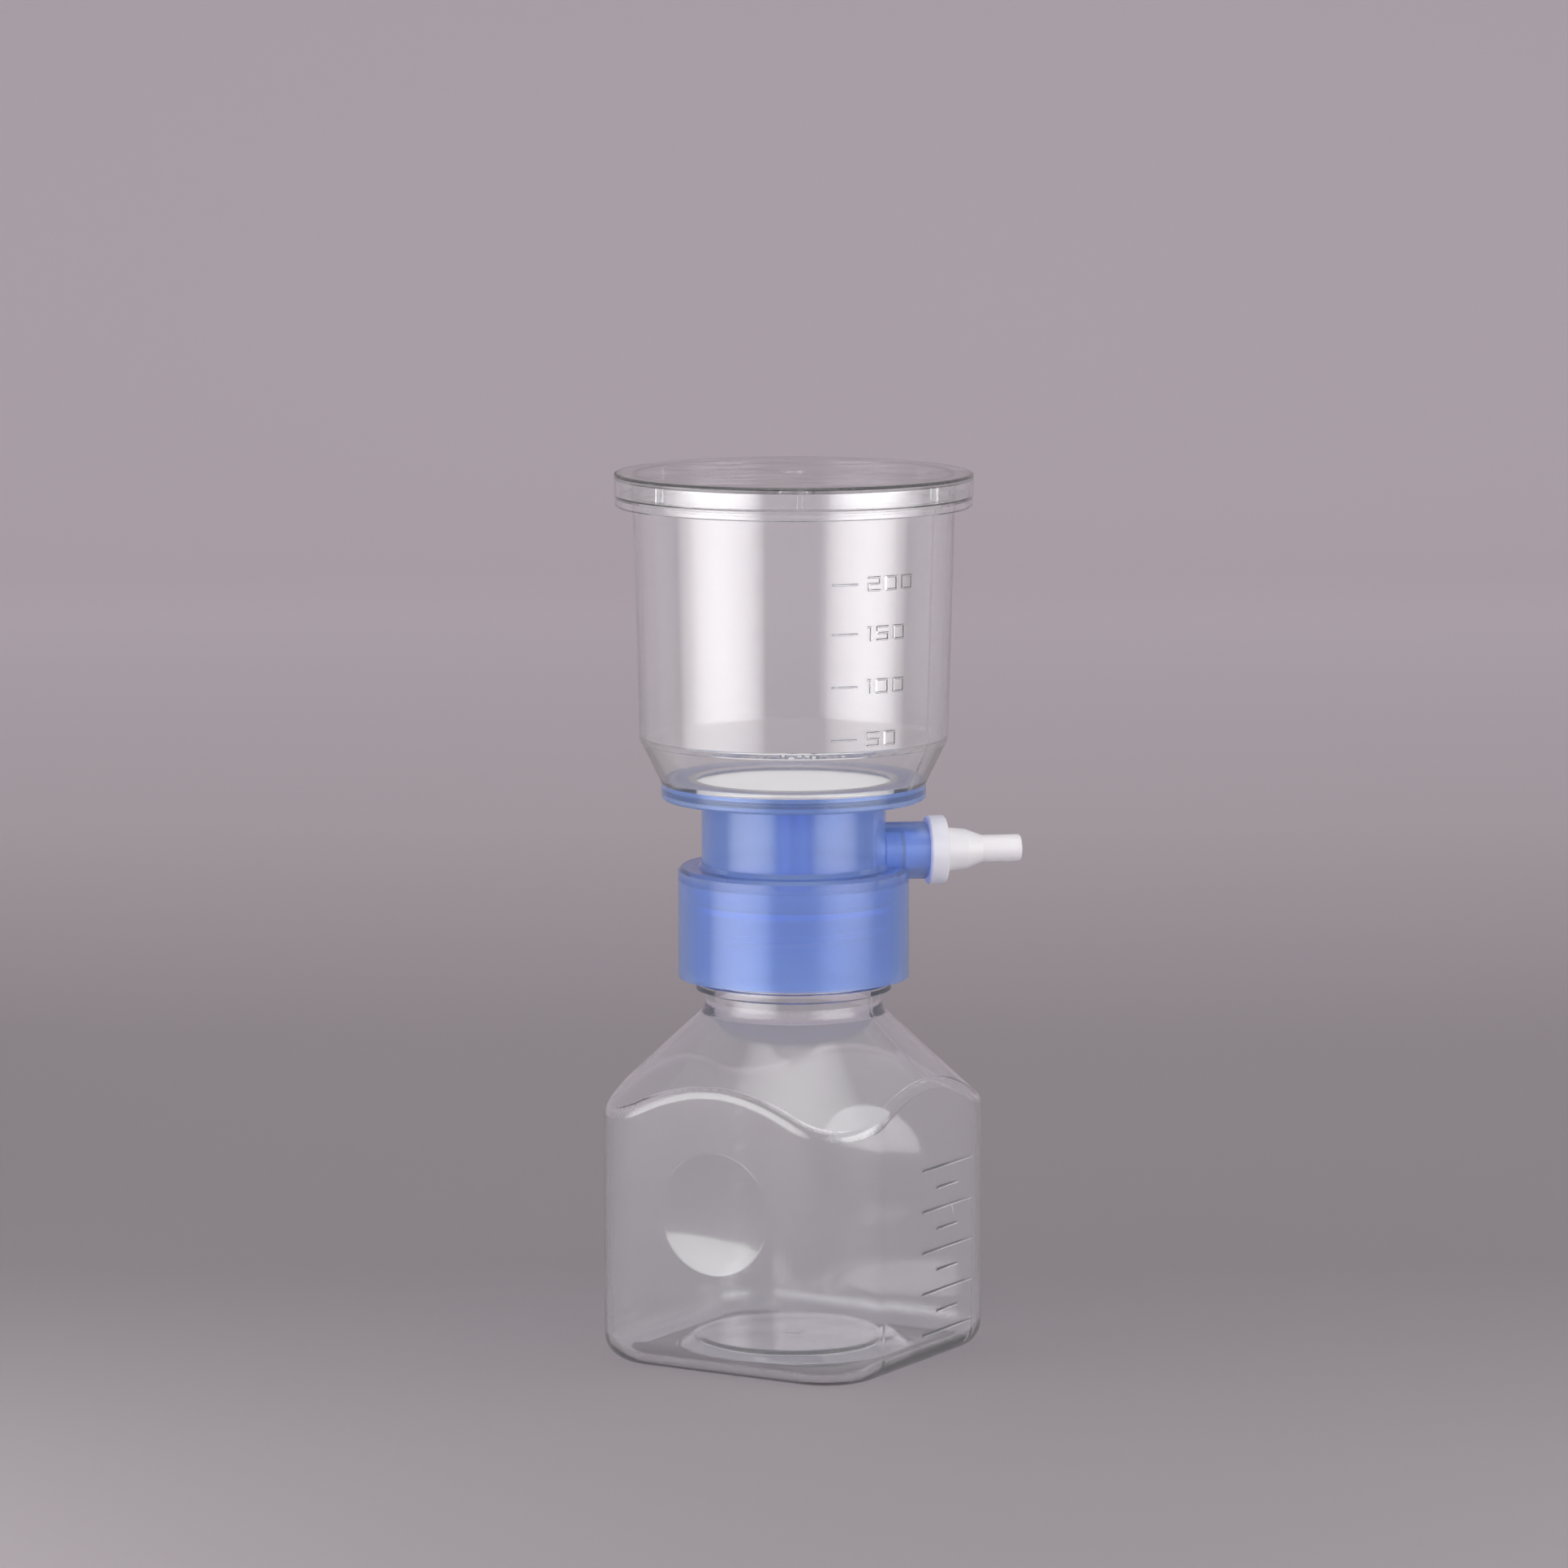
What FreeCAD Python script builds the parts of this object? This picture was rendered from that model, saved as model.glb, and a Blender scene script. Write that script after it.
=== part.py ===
"""Vacuum filtration unit: a graduated cup on a filter base that screws on a square receiver bottle.

The unit stands on its bottle. The origin is the centre of the bottle's base, +Z runs up the common
axis of bottle, filter base and cup, and the bottle's flat sides face +X, -X, +Y and -Y.
All sizes are in millimetres and all angles in degrees.
"""

import FreeCAD, Part
import math
import os
import re
from types import SimpleNamespace

import Sketcher

SIZES = {
    # receiver bottle
    "bottle_side": 74.6,
    "bottle_corner": 16.3,
    "bottle_wall": 1.3,
    "bottle_floor": 1.8,
    "bottle_heel": 6.0,
    "bottle_crease": 4.0,
    "standing_ring": 4.3,
    "punt_slope": 4.5,
    "punt_rise": 3.0,
    "punt_round": 2.0,
    "dimple_radius": 14.5,
    "dimple_depth": 1.2,
    "dimple_height": 39.1,
    "shoulder_top": 83.5,
    "shoulder_slope": 43.0,
    "neck_radius": 21.1,
    "neck_wall": 2.2,
    "neck_height": 24.1,
    "neck_flare": 3.0,
    "neck_lip_bevel": 0.4,
    "bead_reach": 2.2,
    "bead_lift": 3.9,
    "bead_height": 2.4,
    "bead_slope": 0.8,
    # neck gasket
    "gasket_height": 1.6,
    "gasket_overlap": 1.5,
    "gasket_gap": 0.3,
    # filter base, with its lengths from the seal web's underside
    "thread_gap": 1.8,
    "sleeve_wall": 1.5,
    "skirt_gap": 1.3,
    "collar_wall": 1.8,
    "collar_length": 18.0,
    "collar_head": 8.2,
    "collar_roof": 3.4,
    "collar_bevel": 0.8,
    "seal_web": 2.0,
    "base_neck_step": 0.8,
    "base_neck_wall": 1.8,
    "base_neck_bevel": 1.0,
    "dish_margin": 6.4,
    "dish_lift": 28.3,
    "dish_height": 3.7,
    "dish_plate": 2.5,
    "dish_rim_wall": 1.6,
    "dish_bevel": 0.5,
    "spout_radius": 5.0,
    "spout_bore": 3.2,
    "spout_lift": 2.8,
    "channel_count": 12,
    "channel_width": 1.2,
    "channel_depth": 0.9,
    "channel_margin": 2.0,
    "channel_ring": 13.5,
    # side port of the filter base
    "port_angle": 40.0,
    "port_lift": 11.3,
    "port_radius": 6.9,
    "port_overhang": 4.5,
    "port_bore": 4.6,
    "port_bore_depth": 10.5,
    "port_throat": 3.2,
    "port_bevel": 0.4,
    # cotton plug in the side port
    "plug_length": 4.0,
    "plug_gap": 0.05,
    # hose nozzle
    "spigot_gap": 0.05,
    "spigot_length": 5.8,
    "nozzle_bore": 1.9,
    "nozzle_flange_radius": 8.2,
    "nozzle_flange_height": 4.4,
    "nozzle_root_radius": 5.3,
    "nozzle_root_end": 4.8,
    "nozzle_root_length": 5.0,
    "nozzle_waist_length": 4.0,
    "nozzle_tail_radius": 3.25,
    "nozzle_tail_length": 9.4,
    "nozzle_bevel": 0.4,
    # membrane
    "membrane_radius": 25.0,
    "membrane_height": 0.2,
    "membrane_gap": 0.1,
    # filter cup
    "cup_foot_clamp": 1.5,
    "cup_foot_height": 1.3,
    "cup_foot_spread": 5.2,
    "cup_foot_rise": 10.5,
    "cup_height": 72.3,
    "cup_taper": 1.7,
    "cup_wall": 1.3,
    "cup_round": 3.0,
    "cup_lip_bevel": 0.3,
    "cup_flange_reach": 4.0,
    "cup_flange_drop": 3.7,
    "cup_flange_height": 2.6,
    "cup_flange_lip": 1.2,
    "cup_flange_web": 1.0,
    "tongue_inset": 1.5,
    "tongue_width": 1.2,
    "tongue_depth": 1.0,
    "tongue_gap": 0.1,
    # lid
    "lid_overhang": 0.2,
    "lid_plate": 1.5,
    "lid_skirt_wall": 1.3,
    "lid_skirt_gap": 0.15,
    "lid_round": 0.7,
    "tab_count": 6,
    "tab_angle": 2.8,
    "tab_width": 1.4,
    "tab_depth": 1.3,
    "tab_height": 3.8,
    "tab_gap": 0.4,
}

# Radii and heights above the bottle's base that several pieces share.
PLACES = {
    "punt_radius": "bottle_side / 2 - bottle_heel - standing_ring",
    "neck_top": "shoulder_top + neck_height",
    "neck_bore": "neck_radius - neck_wall",
    "bead_bottom": "shoulder_top + bead_lift",
    "seal_place": "neck_top + gasket_height",
    "sleeve_radius": "neck_radius + thread_gap",
    "collar_radius": "sleeve_radius + sleeve_wall + skirt_gap + collar_wall",
    "collar_bottom": "seal_place - collar_length",
    "collar_top": "seal_place + collar_head",
    "base_neck_radius": "neck_radius + base_neck_step",
    "dish_radius": "membrane_radius + dish_margin",
    "dish_top": "seal_place + dish_lift",
    "dish_bottom": "dish_top - dish_height",
    "spout_tip": "seal_place + spout_lift",
    "port_height": "seal_place + port_lift",
    "port_reach": "collar_radius + port_overhang",
    "tongue_radius": "dish_radius - tongue_inset",
    "cup_floor_radius": "dish_radius + cup_foot_spread",
    "cup_floor_height": "dish_top + cup_foot_rise",
    "cup_mouth_radius": "cup_floor_radius + cup_taper",
    "cup_top": "dish_top + cup_height",
    "cup_flange_radius": "cup_mouth_radius + cup_flange_reach",
    "cup_flange_top": "cup_top - cup_flange_drop",
    "cup_flange_bottom": "cup_flange_top - cup_flange_height",
    "lid_radius": "cup_flange_radius + lid_overhang",
}

PARTS_FOLDER = "parts"
FULL_TURN = 360.0
START_RADIUS = 5.0
START_ANGLE = 10.0
CLOSE = 1e-3
CUTS = ("PartDesign::Groove", "PartDesign::Pocket", "PartDesign::SubtractiveSphere")
UP = FreeCAD.Vector(0, 0, 1)


def formula(text):
    """The formula with the name of each size or place written as a reference to its cell."""
    return re.sub(r"[a-z_]+", lambda word: cell(word.group()), text)


def cell(word):
    if word in SIZES:
        return f"Sizes.{word}"
    if word in PLACES:
        return f"Places.{word}"
    return word


def new_sheet(name, contents):
    """A spreadsheet with a row for each name and content, where the name is the cell's alias."""
    sheet = doc.addObject("Spreadsheet::Sheet", name)
    for row, (alias, content) in enumerate(contents.items(), start=1):
        sheet.set(f"A{row}", alias)
        sheet.setAlias(f"B{row}", alias)
        sheet.set(f"B{row}", content)
    doc.recompute()
    return sheet


doc = FreeCAD.newDocument("vacuum_filtration_unit")
new_sheet("Sizes", {name: str(number) for name, number in SIZES.items()})
places = new_sheet("Places", {name: "=" + formula(text) for name, text in PLACES.items()})
size = SimpleNamespace(**SIZES, **{name: float(places.get(name)) for name in PLACES})


def new_body(label):
    body = doc.addObject("PartDesign::Body", label)
    body.Label = label
    return body


def new_sketch(body, name, plane="XZ_Plane", turn_axis=UP, **offset):
    """An empty sketch on an origin plane of its body.

    offset holds formulas for x, y and z, along the plane's own axes, and for turn, about turn_axis.
    """
    sketch = body.newObject("Sketcher::SketchObject", name)
    support = next(item for item in body.Origin.OriginFeatures if item.Role == plane)
    sketch.AttachmentSupport = [(support, "")]
    sketch.MapMode = "FlatFace"
    if "turn" in offset:
        start = FreeCAD.Rotation(turn_axis, START_ANGLE)
        sketch.AttachmentOffset = FreeCAD.Placement(FreeCAD.Vector(), start)
        sketch.setExpression("AttachmentOffset.Rotation.Angle", formula(offset.pop("turn")))
    for axis, text in offset.items():
        sketch.setExpression(f"AttachmentOffset.Base.{axis}", formula(text))
    sketch.Visibility = False
    return sketch


def pin_point(sketch, geometry, end, spot, across, up):
    """Binds a point that starts at spot to the formulas across and up, from the sketch's origin."""
    for kind, start, text in (("DistanceX", spot.x, across), ("DistanceY", spot.y, up)):
        index = sketch.addConstraint(Sketcher.Constraint(kind, -1, 1, geometry, end, start))
        sketch.setExpression(f"Constraints[{index}]", formula(text))


def add_loop(sketch, corners):
    """A closed outline of straight sides through the corners, each an (across, up) pair of formulas."""
    first = sketch.GeometryCount
    count = len(corners)
    spots = []
    for step in range(count):
        turn = FreeCAD.Rotation(UP, START_ANGLE + FULL_TURN * step / count)
        spots.append(turn.multVec(FreeCAD.Vector(START_RADIUS, 0, 0)))
    for step in range(count):
        sketch.addGeometry(Part.LineSegment(spots[step], spots[(step + 1) % count]), False)
    for step in range(count):
        following = first + (step + 1) % count
        sketch.addConstraint(Sketcher.Constraint("Coincident", first + step, 2, following, 1))
    for step, (across, up) in enumerate(corners):
        pin_point(sketch, first + step, 1, spots[step], across, up)


def add_circle(sketch, radius):
    """A circle about the sketch's origin."""
    index = sketch.addGeometry(Part.Circle(FreeCAD.Vector(), UP, START_RADIUS), False)
    sketch.addConstraint(Sketcher.Constraint("Coincident", index, 3, -1, 1))
    number = sketch.addConstraint(Sketcher.Constraint("Radius", index, START_RADIUS))
    sketch.setExpression(f"Constraints[{number}]", formula(radius))


def turned(kind, sketch, *loops):
    """A Revolution or Groove of the loops about the sketch's upright axis."""
    for corners in loops:
        add_loop(sketch, corners)
    body = sketch.getParentGeoFeatureGroup()
    feature = body.newObject(f"PartDesign::{kind}", sketch.Name + "_turned")
    feature.Profile = sketch
    feature.ReferenceAxis = (sketch, ["V_Axis"])
    feature.Angle = FULL_TURN
    doc.recompute()
    return feature


def pushed(kind, sketch, length):
    """A Pad or Pocket of the sketch, length deep."""
    body = sketch.getParentGeoFeatureGroup()
    feature = body.newObject(f"PartDesign::{kind}", sketch.Name + "_pushed")
    feature.Profile = sketch
    feature.setExpression("Length", formula(length))
    doc.recompute()
    return feature


def repeated(feature, sketch, count):
    """The feature repeated evenly all round the sketch's normal."""
    body = sketch.getParentGeoFeatureGroup()
    pattern = body.newObject("PartDesign::PolarPattern", feature.Name + "_round")
    pattern.Originals = [feature]
    pattern.Axis = (sketch, ["N_Axis"])
    pattern.Angle = FULL_TURN
    pattern.setExpression("Occurrences", formula(count))
    body.Tip = pattern
    doc.recompute()
    return pattern


def softened(kind, feature, measure, amount, chosen):
    """A Fillet or Chamfer of the feature's edges for which chosen(edge) is true."""
    body = feature.getParentGeoFeatureGroup()
    edges = [f"Edge{n}" for n, edge in enumerate(feature.Shape.Edges, start=1) if chosen(edge)]
    dressing = body.newObject(f"PartDesign::{kind}", f"{feature.Name}_{kind.lower()}")
    dressing.Base = (feature, edges)
    dressing.setExpression(measure, formula(amount))
    doc.recompute()
    return dressing


def rounded(feature, radius, chosen):
    return softened("Fillet", feature, "Radius", radius, chosen)


def bevelled(feature, width, chosen):
    return softened("Chamfer", feature, "Size", width, chosen)


def is_ring(edge, radius, low, high):
    """True for a level full circle about the axis, with this radius, between two heights."""
    box = edge.BoundBox
    level = box.ZLength < CLOSE
    wide = abs(box.XMax - radius) < CLOSE and abs(box.XMin + radius) < CLOSE
    return level and wide and low - CLOSE <= box.ZMax <= high + CLOSE


def is_any_ring(edge, low, high):
    """True for a level full circle about the axis, of any radius, between two heights."""
    return is_ring(edge, edge.BoundBox.XMax, low, high)


def is_bent(edge):
    """True for an edge that is neither straight nor part of a circle."""
    return edge.Curve.TypeId not in ("Part::GeomLine", "Part::GeomCircle")


def rectangle(inner, outer, low, high):
    """The corners of an upright rectangle between two radii and two heights."""
    return [(inner, low), (outer, low), (outer, high), (inner, high)]


def bottle_form(name, inset, floor, bore):
    """The bottle's outer form, or the form of its cavity when inset is the wall.

    floor is the height of the form's underside, and bore the radius of its neck.
    """
    body = new_body(name)
    half = f"(bottle_side / 2 - {inset})"
    square = new_sketch(body, f"{name}_square", "XY_Plane", z=floor)
    add_loop(square, rectangle(f"-{half}", half, f"-{half}", half))
    form = pushed("Pad", square, f"neck_top - {floor}")
    form = rounded(form, f"bottle_corner - {inset}", lambda edge: edge.BoundBox.ZLength > CLOSE)
    underside = form.Shape.BoundBox.ZMin
    form = rounded(form, f"bottle_heel - {inset}", lambda edge: edge.BoundBox.ZMax < underside + CLOSE)

    # The shoulder is a cone that ends in four arches, one over each flat side.
    cone_top = f"shoulder_top + neck_radius * tan(shoulder_slope) - {inset} / cos(shoulder_slope)"
    clear = "bottle_side"
    shoulder = [
        (bore, "neck_top"),
        (bore, f"{cone_top} - {bore} * tan(shoulder_slope)"),
        (clear, f"{cone_top} - {clear} * tan(shoulder_slope)"),
        (clear, "neck_top"),
    ]
    form = turned("Groove", new_sketch(body, f"{name}_shoulder"), shoulder)
    form = rounded(form, f"bottle_crease - {inset}", is_bent)
    low = size.shoulder_top - size.neck_flare
    high = size.shoulder_top + size.neck_flare
    form = rounded(form, f"neck_flare + {inset}", lambda edge: is_any_ring(edge, low, high))

    # A thumb dimple is part of a ball whose middle lies outside the bottle. Both forms share that middle.
    dish = "(dimple_radius ^ 2 + dimple_depth ^ 2) / (2 * dimple_depth)"
    middle = f"(bottle_side / 2 - dimple_depth + {dish})"
    for side, turned_to in ("front", "-"), ("back", ""):
        dimple = body.newObject("PartDesign::SubtractiveSphere", f"{name}_{side}_dimple")
        dimple.setExpression("Radius", formula(f"{dish} + {inset}"))
        dimple.setExpression("Placement.Base.y", formula(f"{turned_to}{middle}"))
        dimple.setExpression("Placement.Base.z", formula("dimple_height"))
        doc.recompute()

    # Inside the wall, the rim of a sloping side lies further out by this much.
    grow = f"{inset} * tan(atan(punt_rise / punt_slope) / 2)"
    foot = f"punt_radius + {grow}"
    roof = f"{floor} + punt_rise"
    punt = [("0", floor), (foot, floor), (f"{foot} - punt_slope", roof), ("0", roof)]
    form = turned("Groove", new_sketch(body, f"{name}_punt"), punt)
    punt_top = underside + size.punt_rise
    rounded(form, "punt_round", lambda edge: is_any_ring(edge, underside, punt_top))
    return body


def make_receiver_bottle():
    """Receiver bottle: moulded clear, square with round corners, with a neck for a screw collar."""
    outside = bottle_form("bottle_outside", "0", "0", "neck_radius")
    bead_top = "bead_bottom + bead_height"
    bead_edge = "neck_radius + bead_reach"
    bead = [
        ("neck_bore", "bead_bottom"),
        ("neck_radius", "bead_bottom"),
        (bead_edge, "bead_bottom + bead_slope"),
        (bead_edge, bead_top),
        ("neck_bore", bead_top),
    ]
    form = turned("Revolution", new_sketch(outside, "bead"), bead)
    bevelled(form, "neck_lip_bevel", lambda edge: is_any_ring(edge, size.neck_top, size.neck_top))
    bottle = doc.addObject("Part::Cut", "receiver_bottle")
    bottle.Base = outside
    bottle.Tool = bottle_form("bottle_inside", "bottle_wall", "bottle_floor", "neck_bore")
    return bottle


def make_neck_gasket():
    """Neck gasket: a flat ring between the bottle's lip and the seal web of the filter base."""
    body = new_body("neck_gasket")
    ring = rectangle("neck_bore + gasket_gap", "neck_radius + gasket_overlap", "neck_top", "seal_place")
    turned("Revolution", new_sketch(body, "gasket"), ring)
    return body


def port_circle(body, name, radius, reach):
    """A circle across the side port's axis, reach out from the unit's axis, that faces outwards."""
    sketch = new_sketch(
        body,
        name,
        "YZ_Plane",
        turn_axis=FreeCAD.Vector(0, 1, 0),
        turn="port_angle",
        x=f"({reach}) * sin(port_angle)",
        y="port_height",
        z=f"({reach}) * cos(port_angle)",
    )
    add_circle(sketch, radius)
    return sketch


def make_filter_base():
    """Filter base: one moulding with the membrane's dish, a neck, a side port and a screw collar."""
    body = new_body("filter_base")
    outline = [
        ("0", "collar_bottom"),
        ("collar_radius", "collar_bottom"),
        ("collar_radius", "collar_top"),
        ("base_neck_radius", "collar_top"),
        ("base_neck_radius", "dish_bottom"),
        ("dish_radius", "dish_bottom"),
        ("dish_radius", "dish_top"),
        ("0", "dish_top"),
    ]
    form = turned("Revolution", new_sketch(body, "base_outside"), outline)
    under = size.dish_bottom
    top = size.collar_top
    form = bevelled(form, "collar_bevel", lambda edge: is_ring(edge, size.collar_radius, top, top))
    form = bevelled(form, "dish_bevel", lambda edge: is_ring(edge, size.dish_radius, under, under))
    form = bevelled(form, "base_neck_bevel", lambda edge: is_ring(edge, size.base_neck_radius, top, under))
    form = pushed("Pad", port_circle(body, "port_boss", "port_radius", "0"), "port_reach")
    port_end = size.port_reach - CLOSE
    bevelled(form, "port_bevel", lambda edge: along_port(edge.BoundBox.Center) > port_end)

    # A double skirt grips the neck. Above the seal web, a chamber surrounds the drip spout.
    chamber = "base_neck_radius - base_neck_wall"
    plate_under = "dish_top - dish_plate"
    hollow = [
        ("0", "collar_bottom"),
        ("sleeve_radius", "collar_bottom"),
        ("sleeve_radius", "seal_place"),
        ("neck_bore", "seal_place"),
        ("neck_bore", "seal_place + seal_web"),
        (chamber, "seal_place + seal_web"),
        (chamber, plate_under),
        ("spout_radius", plate_under),
        ("spout_radius", "spout_tip"),
        ("0", "spout_tip"),
    ]
    turned("Groove", new_sketch(body, "hollow"), hollow)
    skirt_slot = rectangle(
        "sleeve_radius + sleeve_wall",
        "collar_radius - collar_wall",
        "collar_bottom",
        "collar_top - collar_roof",
    )
    rim_slot = rectangle("base_neck_radius", "dish_radius - dish_rim_wall", "dish_bottom", plate_under)
    tongue_slot = rectangle(
        "tongue_radius - tongue_width - tongue_gap",
        "tongue_radius + tongue_gap",
        "dish_top - tongue_depth - tongue_gap",
        "dish_top",
    )
    turned("Groove", new_sketch(body, "slots"), skirt_slot, rim_slot, tongue_slot)

    # The membrane lies in a shallow bed over twelve drain channels that meet at the spout.
    bed = "dish_top - membrane_height"
    bed_edge = "membrane_radius + membrane_gap"
    turned("Groove", new_sketch(body, "bed"), rectangle("0", bed_edge, bed, "dish_top"))
    drain = rectangle("0", "spout_bore", "spout_tip", bed)
    half = "channel_width / 2"
    ring = rectangle(f"channel_ring - {half}", f"channel_ring + {half}", f"{bed} - channel_depth", bed)
    turned("Groove", new_sketch(body, "drain"), drain, ring)
    slot = new_sketch(body, "channel", "XY_Plane", z=bed)
    add_loop(slot, rectangle("0", "membrane_radius - channel_margin", f"-{half}", half))
    repeated(pushed("Pocket", slot, "channel_depth"), slot, "channel_count")

    pushed("Pocket", port_circle(body, "port_bore", "port_bore", "port_reach"), "port_bore_depth")
    inner_end = "port_reach - port_bore_depth"
    throat = port_circle(body, "port_throat", "port_throat", inner_end)
    pushed("Pocket", throat, f"{inner_end} - spout_radius - port_throat")
    return body


def along_port(point):
    """How far out the point lies, measured along the side port."""
    angle = math.radians(size.port_angle)
    return point.x * math.cos(angle) + point.y * math.sin(angle)


def lay_along_port(body):
    """Turns a body that was modelled up the Z axis on to the side port's axis."""
    body.setExpression(
        "Placement",
        formula("placement(vector(0; 0; port_height); rotation(port_angle; 90; 0))"),
    )
    doc.recompute()


def make_port_plug():
    """Port plug: a cotton plug at the inner end of the side port's bore."""
    body = new_body("port_plug")
    inner_end = "port_reach - port_bore_depth"
    plug = rectangle("0", "port_bore - plug_gap", inner_end, f"{inner_end} + plug_length")
    turned("Revolution", new_sketch(body, "plug"), plug)
    lay_along_port(body)
    return body


def make_hose_nozzle():
    """Hose nozzle: a spigot that pushes in the side port, a flange, and a stepped tail for the hose."""
    body = new_body("hose_nozzle")
    spigot = "port_bore - spigot_gap"
    spigot_end = "port_reach - spigot_length"
    flange_top = "port_reach + nozzle_flange_height"
    root_top = f"{flange_top} + nozzle_root_length"
    tail_start = f"{root_top} + nozzle_waist_length"
    tip = f"{tail_start} + nozzle_tail_length"
    outline = [
        ("nozzle_bore", spigot_end),
        (spigot, spigot_end),
        (spigot, "port_reach"),
        ("nozzle_flange_radius", "port_reach"),
        ("nozzle_flange_radius", flange_top),
        ("nozzle_root_radius", flange_top),
        ("nozzle_root_end", root_top),
        ("nozzle_tail_radius", tail_start),
        ("nozzle_tail_radius", tip),
        ("nozzle_bore", tip),
    ]
    form = turned("Revolution", new_sketch(body, "nozzle"), outline)
    far = form.Shape.BoundBox.ZMax
    form = bevelled(form, "nozzle_bevel", lambda edge: is_ring(edge, size.nozzle_flange_radius, 0, far))
    bevelled(form, "nozzle_bevel", lambda edge: is_ring(edge, size.nozzle_tail_radius, far, far))
    lay_along_port(body)
    return body


def make_membrane():
    """Membrane: a thin filter disc, flush with the dish's top and clamped by the cup's foot."""
    body = new_body("membrane")
    disc = rectangle("0", "membrane_radius", "dish_top - membrane_height", "dish_top")
    turned("Revolution", new_sketch(body, "disc"), disc)
    return body


def make_filter_cup():
    """Filter cup: a tapered wall on a conical foot, with a lid flange under its mouth."""
    body = new_body("filter_cup")
    foot_bore = "membrane_radius - cup_foot_clamp"
    foot_slope = "atan(cup_foot_spread / cup_foot_rise)"
    wall_slope = "cup_taper / (cup_top - cup_floor_height)"
    web_under = "cup_flange_top - cup_flange_web"
    foot_top = "dish_top + cup_foot_height"
    tongue_tip = "dish_top - tongue_depth"
    outline = [
        (foot_bore, "dish_top"),
        ("tongue_radius - tongue_width", "dish_top"),
        ("tongue_radius - tongue_width", tongue_tip),
        ("tongue_radius", tongue_tip),
        ("tongue_radius", "dish_top"),
        ("dish_radius", "dish_top"),
        ("cup_floor_radius", "cup_floor_height"),
        (f"cup_floor_radius + ({web_under} - cup_floor_height) * {wall_slope}", web_under),
        ("cup_flange_radius - cup_flange_lip", web_under),
        ("cup_flange_radius - cup_flange_lip", "cup_flange_bottom"),
        ("cup_flange_radius", "cup_flange_bottom"),
        ("cup_flange_radius", "cup_flange_top"),
        (f"cup_floor_radius + (cup_flange_top - cup_floor_height) * {wall_slope}", "cup_flange_top"),
        ("cup_mouth_radius", "cup_top"),
        ("cup_mouth_radius - cup_wall", "cup_top"),
        ("cup_floor_radius - cup_wall", f"cup_floor_height + cup_wall * tan({foot_slope} / 2)"),
        (f"dish_radius + cup_foot_height * tan({foot_slope}) - cup_wall / cos({foot_slope})", foot_top),
        (foot_bore, foot_top),
    ]
    form = turned("Revolution", new_sketch(body, "cup"), outline)
    low = size.cup_floor_height - CLOSE
    high = size.cup_floor_height + size.cup_wall
    form = rounded(form, "cup_round", lambda edge: is_any_ring(edge, low, high))
    form = bevelled(form, "cup_lip_bevel", lambda edge: is_any_ring(edge, size.cup_top, size.cup_top))
    low = size.cup_flange_bottom
    high = size.cup_flange_top
    bevelled(form, "cup_lip_bevel", lambda edge: is_ring(edge, size.cup_flange_radius, low, high))
    return body


def make_lid():
    """Lid: a loose disc with a short skirt over the flange and six tabs just inside the cup's mouth."""
    body = new_body("lid")
    skirt = "lid_radius - lid_skirt_wall"
    skirt_end = "cup_flange_top + lid_skirt_gap"
    outline = [
        ("0", "cup_top"),
        (skirt, "cup_top"),
        (skirt, skirt_end),
        ("lid_radius", skirt_end),
        ("lid_radius", "cup_top + lid_plate"),
        ("0", "cup_top + lid_plate"),
    ]
    form = turned("Revolution", new_sketch(body, "plate"), outline)
    lid_top = form.Shape.BoundBox.ZMax
    rounded(form, "lid_round", lambda edge: is_ring(edge, size.lid_radius, lid_top, lid_top))
    tab = new_sketch(body, "tab", "XY_Plane", turn="tab_angle", z="cup_top - tab_height")
    tab_face = "cup_mouth_radius - cup_wall - tab_gap"
    half = "tab_width / 2"
    add_loop(tab, rectangle(f"{tab_face} - tab_depth", tab_face, f"-{half}", half))
    repeated(pushed("Pad", tab, "tab_height"), tab, "tab_count")
    return body


def check(pieces):
    """Stops the build when a feature failed, a cut removed nothing, or a piece has no sound shape."""
    for item in doc.Objects:
        if "Invalid" in item.State or "Error" in item.State:
            raise RuntimeError(f"{item.Name} failed: {item.State}")
        if item.TypeId in CUTS:
            if item.Shape.Volume > item.BaseFeature.Shape.Volume - CLOSE:
                raise RuntimeError(f"{item.Name} cuts nothing")
    for piece in pieces:
        if piece.Shape.isNull() or not piece.Shape.isValid():
            raise RuntimeError(f"{piece.Label} has no sound shape")


pieces = [
    make_receiver_bottle(),
    make_neck_gasket(),
    make_filter_base(),
    make_membrane(),
    make_port_plug(),
    make_hose_nozzle(),
    make_filter_cup(),
    make_lid(),
]
doc.recompute()
check(pieces)
os.makedirs(PARTS_FOLDER, exist_ok=True)
for piece in pieces:
    piece.Shape.exportStep(f"{PARTS_FOLDER}/{piece.Label}.step")
    box = piece.Shape.BoundBox
    print(f"{piece.Label}: {piece.Shape.Volume:.0f} mm3, z {box.ZMin:.2f} to {box.ZMax:.2f}")
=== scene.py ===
import math

import bpy
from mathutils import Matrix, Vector
from mathutils.interpolate import poly_3d_calc


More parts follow.
